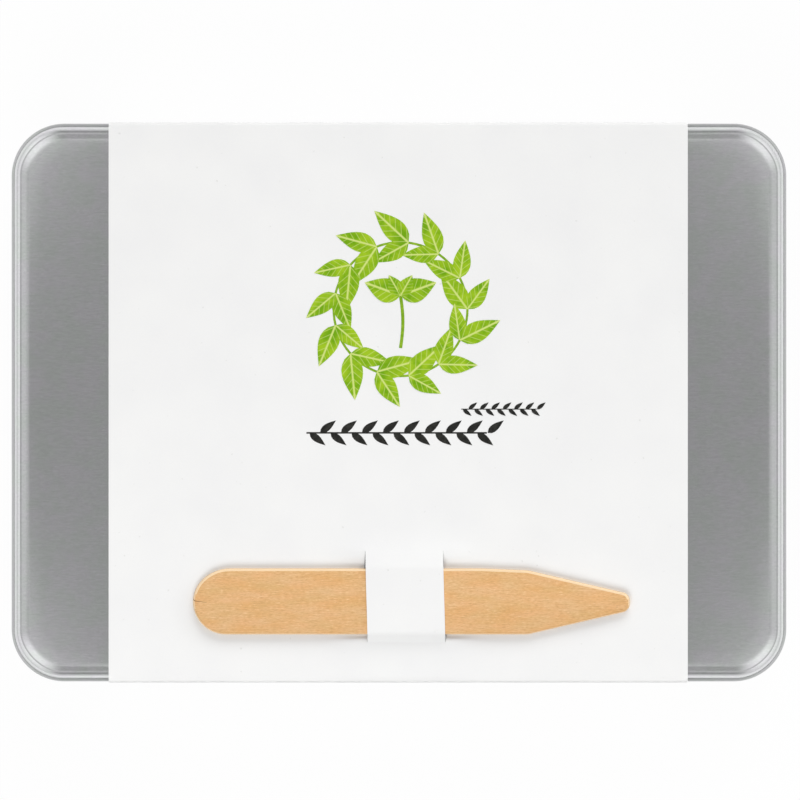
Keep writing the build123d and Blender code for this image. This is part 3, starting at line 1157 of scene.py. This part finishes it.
def packet_paper(name, tint):
    """Cream paper with a coloured band across its head and a fine line under it."""
    made = Material(name, 0.5, specular=0.3)
    _, y, _ = made.axes("UV")
    fibre = made.noise(*PACKET_FIBRE)
    band = made.math("GREATER_THAN", y, PACKET_BAND)
    below = made.math("COMPARE", y, PACKET_BAND - PACKET_LINE, PACKET_LINE / 4)
    made.paint(made.mix(made.most(band, below), made.blend(fibre, *PACKET_TONES), tint))
    made.bump(fibre, PAPER_RELIEF)
    return made.material


def swell(distance):
    """From 0 at a packet's seam to 1 where its swelling is full."""
    share = min(max(distance / SWELL, 0.0), 1.0)
    return share * share * (3 - 2 * share)


def packet_rise(x, y, half, seed):
    """How far a packet's face stands from its middle plane, with faint creases on its slopes."""
    full = swell(half.x - SEAM - abs(x)) * swell(half.y - SEAM - abs(y))
    crease = abs(noise.noise(Vector((x, y, seed)) * CREASE_RATE))
    rise = SEAM_HALF + (half.z - SEAM_HALF - PACKET_CLEARANCE) * full
    return rise - CREASE_DEPTH * crease * 4 * full * (1 - full)


def pouch_faces(wide, deep):
    """The faces of an upper and a lower grid of vertices, and those along their rim."""
    layer = wide * deep
    faces = []
    for j in range(deep - 1):
        for i in range(wide - 1):
            a = j * wide + i
            face = (a, a + 1, a + wide + 1, a + wide)
            faces += [face, tuple(layer + k for k in reversed(face))]
    rim = list(range(wide - 1)) + [j * wide + wide - 1 for j in range(deep - 1)]
    rim += [layer - 1 - k for k in range(wide - 1)] + [j * wide for j in range(deep - 1, 0, -1)]
    for here, following in zip(rim, rim[1:] + rim[:1]):
        faces.append((here, here + layer, following + layer, following))
    return faces


def packet(number, material):
    """A sealed packet: flat seams all round, and two faces that swell over its seeds."""
    node = f"seed_packet_{number:02d}"
    centre, half = middle_and_half(node)
    columns = spread(-half.x, half.x, PACKET_GRID)
    rows = spread(-half.y, half.y, PACKET_GRID)
    vertices, uvs = [], []
    for side in (1, -1):
        for y in rows:
            for x in columns:
                rise = packet_rise(x, y, half, number * side)
                vertices.append((centre.x + x, centre.y + y, centre.z + side * rise))
                uvs.append((x, y))
    faces = pouch_faces(len(columns), len(rows))
    piece(f"packet_{number:02d}", vertices, faces, material, "base", node, uvs=uvs)


def packet_print(number, kind, ink):
    """A packet's sprig. Its size goes by the packet's colour, its leaves by its number."""
    centre, half = middle_and_half(f"seed_packet_{number:02d}")
    place = centre.xy + Vector((0, PACKET_ART))
    height = PACKET_SPRIG + PACKET_SPRIG_MORE * kind
    leaf = (PACKET_LEAF + PACKET_LEAF_MORE * kind, PACKET_LEAF_WIDTH)
    shapes = sprig(place, height, FEWEST_PAIRS + number % PAIR_COUNTS, leaf)
    top = centre.z + half.z - PACKET_CLEARANCE
    printed(f"packet_print_{number:02d}", shapes, top, ink, "base")


def packets():
    """Twelve packets in six colours, each with its own sprig."""
    for kind, tint in enumerate(PACKET_TINTS):
        paper = packet_paper(f"packet_paper_{kind + 1}", tint)
        ink = plain_ink(f"packet_ink_{kind + 1}", tint, PACKET_LEAVES)
        for number in (kind + 1, kind + 1 + len(PACKET_TINTS)):
            packet(number, paper)
            packet_print(number, kind, ink)


def framed_card(name, base, line, node, inset, width):
    """Card whose finish draws a fine frame, inset from its node's edges."""
    centre, half = middle_and_half(node)
    made = Material(name)
    x, y, _ = made.axes()
    gaps = []
    for place, middle, reach in ((x, centre.x, half.x), (y, centre.y, half.y)):
        gaps.append(made.minus(reach, made.math("ABSOLUTE", made.minus(place, middle))))
    on_line = made.math("COMPARE", made.math("MINIMUM", *gaps), inset, width / 2)
    fibre = made.noise(*COVER_FIBRE)
    paler = tuple(min(part * COVER_PALER, 1.0) for part in base)
    made.paint(made.mix(on_line, made.blend(fibre, COVER_FIBRE_SPAN, base, paler), line))
    made.bump(fibre, PAPER_RELIEF)
    dress(node, made.material)


def page_edges():
    """White pages, with the fine lines of their stacked edges."""
    made = Material("guide_pages", 0.7, specular=0.2)
    _, _, z = made.axes()
    lines = made.math("SINE", made.times(z, 2 * math.pi / PAGE_PITCH))
    made.paint(made.blend(lines, *PAGE_TONES))
    return made.material


def guide():
    """The growing guide: a green cover with a frame and a sprig."""
    node = "growing_guide_cover"
    framed_card("guide_cover", COVER_GREEN, COVER_CREAM, node, *GUIDE_FRAME)
    dress("growing_guide_pages", page_edges())
    centre, half = middle_and_half(node)
    ink = plain_ink("guide_ink", COVER_CREAM, colour(226, 234, 204))
    shapes = sprig(centre.xy, *GUIDE_SPRIG)
    printed("guide_print", shapes, centre.z + half.z, ink, "base")


def contents():
    dress("card_insert", kraft("insert_card", colour(201, 176, 140), colour(184, 157, 120)))
    dress("marker_band", kraft("band_card", colour(214, 196, 164), colour(198, 178, 144)))
    seed_look = seeds()
    for node in frame["nodes"]:
        if node.startswith("seed_fill"):
            dress(node, seed_look)
    packets()
    spare_markers()
    guide()
    white, green = colour(240, 240, 238), colour(120, 160, 40)
    framed_card("back_label", white, green, "back_label", *LABEL_FRAME)


# ---- stage and light
def camera():
    data = bpy.data.cameras.new("camera")
    data.lens = LENS
    made = add("camera", data)
    made.location = (CAMERA_SIDE, CAMERA_UP, SLEEVE_TOP + CAMERA_RISE)
    scene.camera = made


def world():
    """White behind the object, an even light for its colours and a graded sky for its metal."""
    made = bpy.data.worlds.new("world")
    scene.world = made
    made.use_nodes = True
    made.cycles.sampling_method = "NONE"
    graph = Graph(made.node_tree)
    path = graph.node("ShaderNodeLightPath").outputs
    seen = graph.most(path["Is Camera Ray"], path["Is Transmission Ray"])
    plain = graph.most(graph.times(path["Is Diffuse Ray"], AMBIENT), seen)
    background = graph.nodes["Background"].inputs["Color"]
    graph.feed(background, graph.mix(path["Is Glossy Ray"], plain, sky(graph)))


def sky(graph):
    """The sky's brightness by its angle from straight up, blended between its directions."""
    x, y, z = graph.axes("Generated")
    angle = graph.math("DEGREES", graph.math("ARCCOSINE", z))
    # Never 0, even straight up
    level = graph.most(graph.minus(1.0, graph.times(z, z)), LEAST_LEVEL)
    along = graph.math("DIVIDE", graph.times(x, x), level)
    # 0 along both axes and a quarter halfway between them
    diagonal = graph.times(along, graph.minus(1.0, along))
    sides = graph.mix(along, graph.curve(angle, SKY_ACROSS), graph.curve(angle, SKY_ALONG))
    return graph.mix(graph.times(diagonal, 4.0), sides, graph.curve(angle, SKY_CORNERS))


def stage_disc(name, radius, height):
    """A level disc that isn't part of the object, and the graph of its empty material."""
    mesh = bpy.data.meshes.new(name)
    disc = bmesh.new()
    bmesh.ops.create_circle(disc, cap_ends=True, segments=DISC_SIDES, radius=radius)
    disc.to_mesh(mesh)
    disc.free()
    material = bpy.data.materials.new(name)
    material.use_nodes = True
    graph = Graph(material.node_tree)
    graph.nodes.clear()
    mesh.materials.append(material)
    made = add(name, mesh)
    made.location = (0, 0, height)
    return made, graph


def floor():
    """A white floor that keeps a share of the object's shadow where it is seen."""
    _, graph = stage_disc("floor", FLOOR_RADIUS, -FLOOR_GAP)
    path = graph.node("ShaderNodeLightPath").outputs
    seen = graph.most(path["Is Camera Ray"], path["Is Glossy Ray"])
    seen = graph.most(seen, path["Is Transmission Ray"])
    kept = graph.remap(path["Is Glossy Ray"], 0, 1, FLOOR_SHADOW, FLOOR_GLOSSY_SHADOW)
    plain = graph.first("ShaderNodeBsdfDiffuse", FLOOR_TONE)
    shaded = graph.first("ShaderNodeBsdfDiffuse", WHITE)
    white = graph.first("ShaderNodeEmission", WHITE)
    bright = graph.first("ShaderNodeMixShader", kept, white, shaded)
    shown = graph.first("ShaderNodeMixShader", seen, plain, bright)
    graph.node("ShaderNodeOutputMaterial", shown)


def ceiling():
    """A dim round reflector overhead, darkest in the middle, that only glossy rays meet."""
    made, graph = stage_disc("ceiling", CEILING_RADIUS, LID_HIGH.z + CEILING_HEIGHT)
    span = graph.node("ShaderNodeVectorMath", graph.place(), operation="LENGTH")
    x, y, _ = graph.axes()
    corner = graph.math("ABSOLUTE", graph.times(graph.times(x, x), y))
    glow = graph.first("ShaderNodeEmission", graph.curve(corner, CEILING_GLOW))
    clear = graph.first("ShaderNodeBsdfTransparent")
    fade = graph.remap(span.outputs["Value"], CEILING_FADE, CEILING_RADIUS)
    shown = graph.first("ShaderNodeMixShader", fade, glow, clear)
    graph.node("ShaderNodeOutputMaterial", shown)
    for rays in ("camera", "diffuse", "transmission", "shadow"):
        setattr(made, f"visible_{rays}", False)


def softbox(name, azimuth, elevation, share, distance, size):
    """A large soft lamp that gives a share of the light on a level surface."""
    around, lift = math.radians(azimuth), math.radians(elevation)
    towards = Matrix.Rotation(around, 3, "Z") @ Vector((math.cos(lift), 0, math.sin(lift)))
    data = bpy.data.lights.new(name, "AREA")
    data.shape = "RECTANGLE"
    data.size, data.size_y = size
    data.energy = share * (math.pi * distance) ** 2 / math.sin(lift)
    made = add(name, data)
    made.location = towards * distance
    made.rotation_euler = towards.to_track_quat("Z", "Y").to_euler()
    made.visible_camera = False
    made.visible_glossy = False


# ---- the whole
tin()
sleeve()
sleeve_print()
marker("marker_on_sleeve", "plant_marker", "marker")
contents()
scene.view_settings.view_transform = "Standard"
camera()
world()
floor()
ceiling()
for name, lamp in LAMPS.items():
    softbox(name, *lamp)
